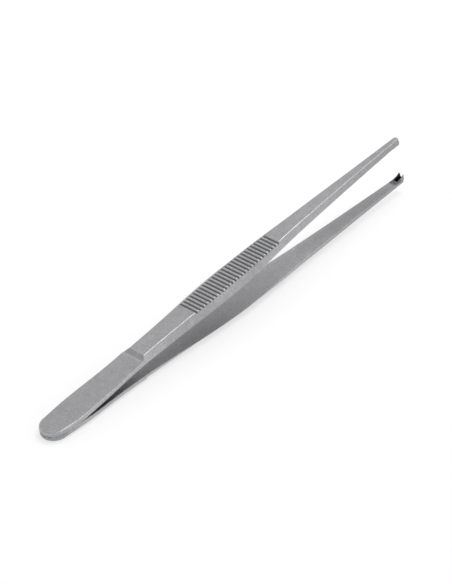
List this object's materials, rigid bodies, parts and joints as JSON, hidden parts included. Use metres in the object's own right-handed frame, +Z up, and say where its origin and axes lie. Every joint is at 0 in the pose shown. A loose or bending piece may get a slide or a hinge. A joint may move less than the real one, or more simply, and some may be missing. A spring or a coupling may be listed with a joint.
{
  "type": "thumb forceps",
  "caption": "Thumb forceps with two sprung arms joined at a round tail, ribbed grips, a stepped outer face and toothed jaws that mesh when squeezed.",
  "frame": {"origin": "centre of the bounding box seen from above, at the surface that the forceps lie on", "axes": "+X from the tail to the tips, +Y across the width of the arms, +Z up, the way the arms spread; the joint plane of the arms leans 3.8 degrees, because the lower arm rests on its tail and its bow"},
  "size_m": [0.1452, 0.0106, 0.0189],
  "materials": {
    "steel": "satin bead-blasted stainless steel"
  },
  "bodies": {
    "root": {"upper_arm": "steel", "lower_arm": "steel"}
  },
  "joints": []
}
